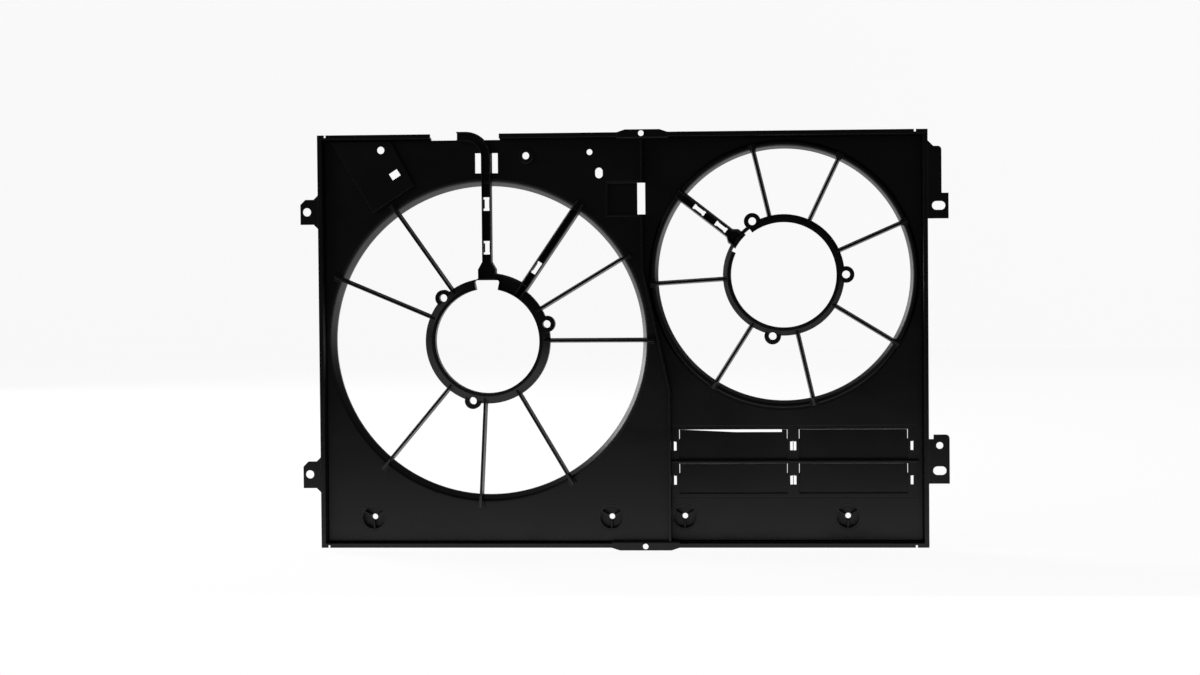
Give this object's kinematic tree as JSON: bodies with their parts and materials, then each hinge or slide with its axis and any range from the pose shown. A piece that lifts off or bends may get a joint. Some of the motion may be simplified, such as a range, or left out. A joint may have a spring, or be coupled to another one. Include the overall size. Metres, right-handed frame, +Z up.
{
  "type": "radiator fan shroud",
  "caption": "Moulded shroud for two radiator fans: bell-mouthed ducts, spoked motor rings, cable channels, rim, side tabs and hinged ram-air flaps.",
  "frame": {"origin": "centre of the large fan's motor bore, at the level of the large panel's radiator-side face", "axes": "+Z up as installed, +X from the large fan towards the small fan, +Y towards the engine, -Y towards the radiator"},
  "size_m": [0.768, 0.032, 0.4987],
  "materials": {
    "shroud_plastic": "fine-grained injection-moulded, black",
    "flap_plastic": "fine-grained injection-moulded, black"
  },
  "bodies": {
    "shroud": {"bottom_centre_tab": "shroud_plastic", "bottom_rim_left": "shroud_plastic", "bottom_rim_right": "shroud_plastic", "cable_elbow": "shroud_plastic", "control_module_plateau": "shroud_plastic", "divider_rib": "shroud_plastic", "divider_rib_upper": "shroud_plastic", "flap_frame": "shroud_plastic", "hinge_hooks": "shroud_plastic", "large_fan_duct": "shroud_plastic", "large_motor_ring": "shroud_plastic", "large_panel": "shroud_plastic", "large_screw_boss_inner": "shroud_plastic", "large_screw_boss_middle": "shroud_plastic", "large_spoke_1": "shroud_plastic", "large_spoke_2": "shroud_plastic", "large_spoke_3": "shroud_plastic", "large_spoke_4": "shroud_plastic", "large_spoke_5": "shroud_plastic", "large_spoke_6": "shroud_plastic", "large_spoke_7": "shroud_plastic", "latch_pocket": "shroud_plastic", "left_rim": "shroud_plastic", "lower_left_tab": "shroud_plastic", "lower_right_tab": "shroud_plastic", "right_rim": "shroud_plastic", "side_cable_channel": "shroud_plastic", "small_fan_cable_channel": "shroud_plastic", "small_fan_duct": "shroud_plastic", "small_motor_ring": "shroud_plastic", "small_panel": "shroud_plastic", "small_screw_boss_middle": "shroud_plastic", "small_screw_boss_outer": "shroud_plastic", "small_spoke_1": "shroud_plastic", "small_spoke_2": "shroud_plastic", "small_spoke_3": "shroud_plastic", "small_spoke_4": "shroud_plastic", "small_spoke_5": "shroud_plastic", "small_spoke_6": "shroud_plastic", "small_spoke_7": "shroud_plastic", "top_centre_tab": "shroud_plastic", "top_rim_left": "shroud_plastic", "top_rim_middle": "shroud_plastic", "top_rim_right": "shroud_plastic", "upper_cable_channel": "shroud_plastic", "upper_left_tab": "shroud_plastic", "upper_right_tab": "shroud_plastic"},
    "flap_upper_inner": {"flap_upper_inner": "flap_plastic"},
    "flap_upper_outer": {"flap_upper_outer": "flap_plastic"},
    "flap_lower_inner": {"flap_lower_inner": "flap_plastic"},
    "flap_lower_outer": {"flap_lower_outer": "flap_plastic"}
  },
  "joints": [
    {"name": "flap_upper_inner_hinge", "type": "hinge", "parent": "shroud", "child": "flap_upper_inner", "pos_m": [0.291, 0.0108, -0.1202], "axis": [1, 0, 0], "range_deg": [0, 70]},
    {"name": "flap_upper_outer_hinge", "type": "hinge", "parent": "shroud", "child": "flap_upper_outer", "pos_m": [0.4331, 0.0108, -0.1202], "axis": [1, 0, 0], "range_deg": [0, 70]},
    {"name": "flap_lower_inner_hinge", "type": "hinge", "parent": "shroud", "child": "flap_lower_inner", "pos_m": [0.291, 0.0108, -0.1609], "axis": [1, 0, 0], "range_deg": [0, 70]},
    {"name": "flap_lower_outer_hinge", "type": "hinge", "parent": "shroud", "child": "flap_lower_outer", "pos_m": [0.4331, 0.0108, -0.1609], "axis": [1, 0, 0], "range_deg": [0, 70]}
  ]
}
